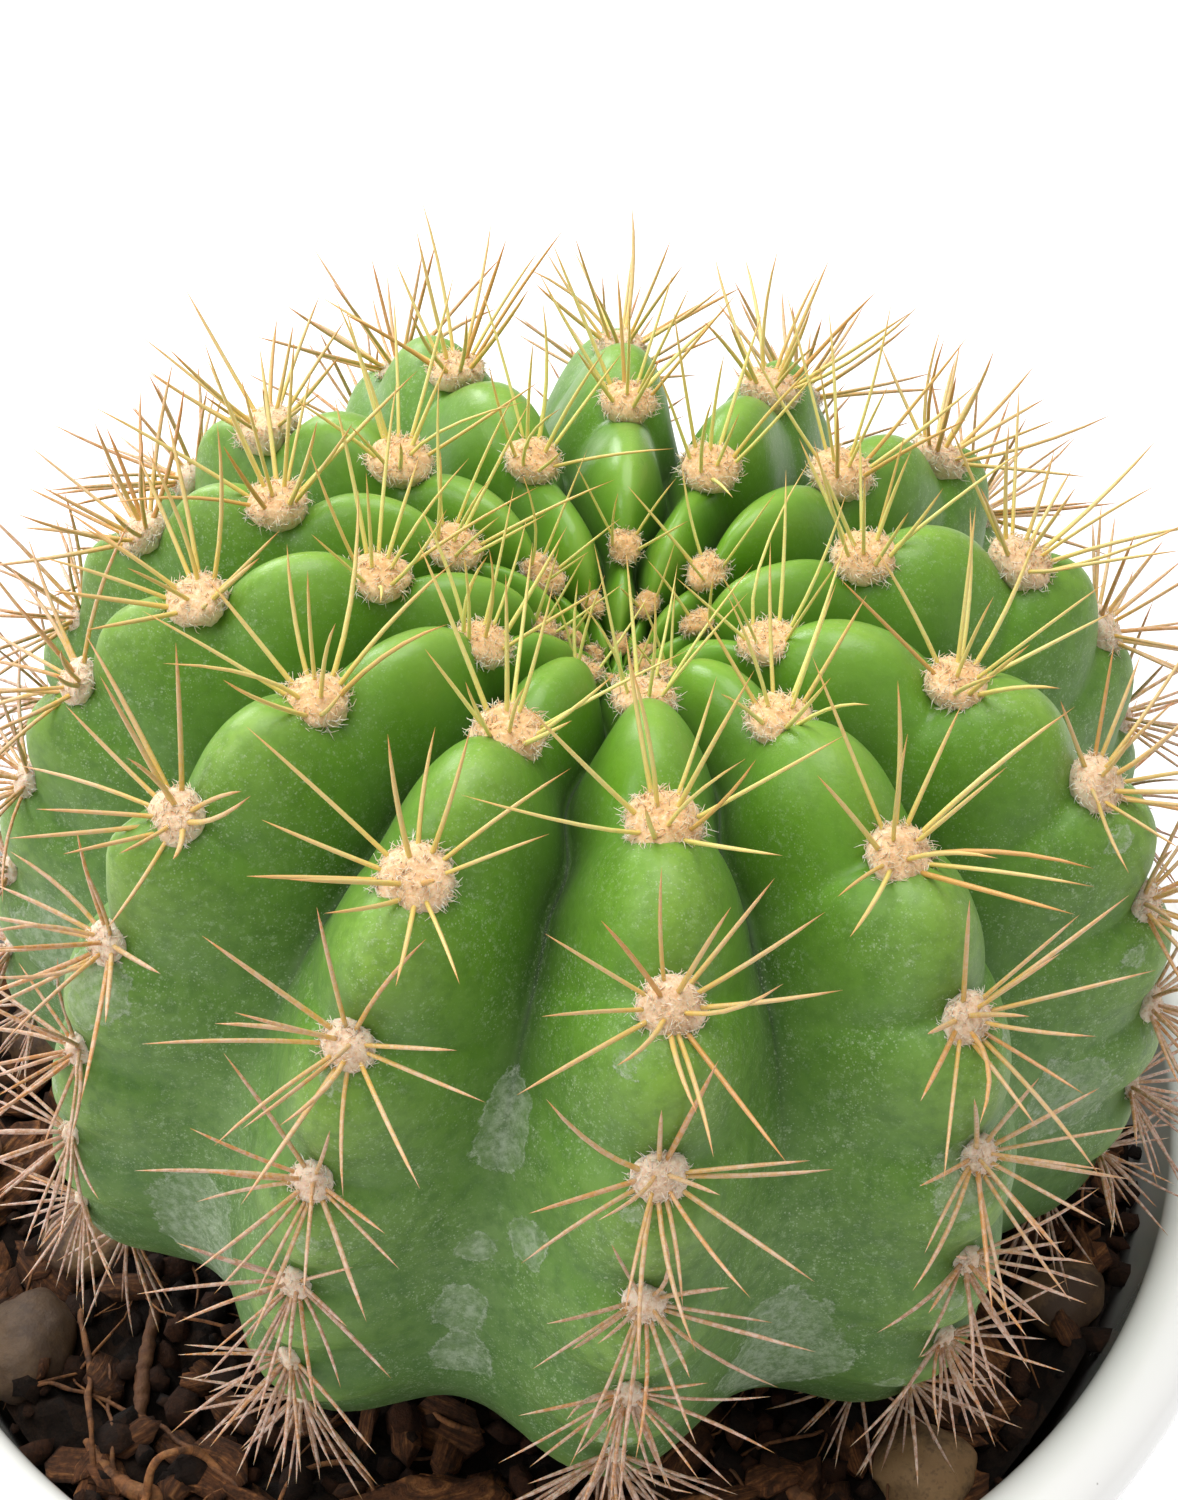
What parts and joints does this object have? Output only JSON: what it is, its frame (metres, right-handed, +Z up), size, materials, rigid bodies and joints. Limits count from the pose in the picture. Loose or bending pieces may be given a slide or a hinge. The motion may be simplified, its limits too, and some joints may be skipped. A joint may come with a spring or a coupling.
{
  "type": "potted ball cactus",
  "caption": "Round ribbed cactus with felted areoles and needle spines, leaning a little in a round white glazed pot of dark potting mix with bark, pebbles and dry roots.",
  "frame": {"origin": "middle of the pot's flat underside", "axes": "+Z up along the pot's axis; the front, which the picture shows, looks along -Y, and +X is to its right"},
  "size_m": [0.11, 0.11, 0.1465],
  "materials": {
    "cactus_skin": "waxy green skin with golden spines and tan wool",
    "glaze": "smooth white glaze, glossy",
    "potting_mix": "dark brown crumbly mix, matte",
    "bark": "reddish brown bark, matte",
    "pebble": "worn tan stone, matte",
    "dry_root": "dry orange brown root, matte"
  },
  "bodies": {
    "root": {"cactus": "cactus_skin", "pot": "glaze", "potting_mix": "potting_mix", "bark_chip_1": "bark", "bark_chip_2": "bark", "bark_chip_3": "bark", "bark_chip_4": "bark", "bark_chip_5": "bark", "bark_chip_6": "bark", "bark_chip_7": "bark", "bark_chip_8": "bark", "bark_chip_9": "bark", "pebble_1": "pebble", "pebble_2": "pebble", "pebble_3": "pebble", "pebble_4": "pebble", "pebble_5": "pebble", "pebble_6": "pebble", "pebble_7": "pebble", "pebble_8": "pebble", "root_1": "dry_root", "root_2": "dry_root", "root_3": "dry_root", "root_4": "dry_root"}
  },
  "joints": []
}
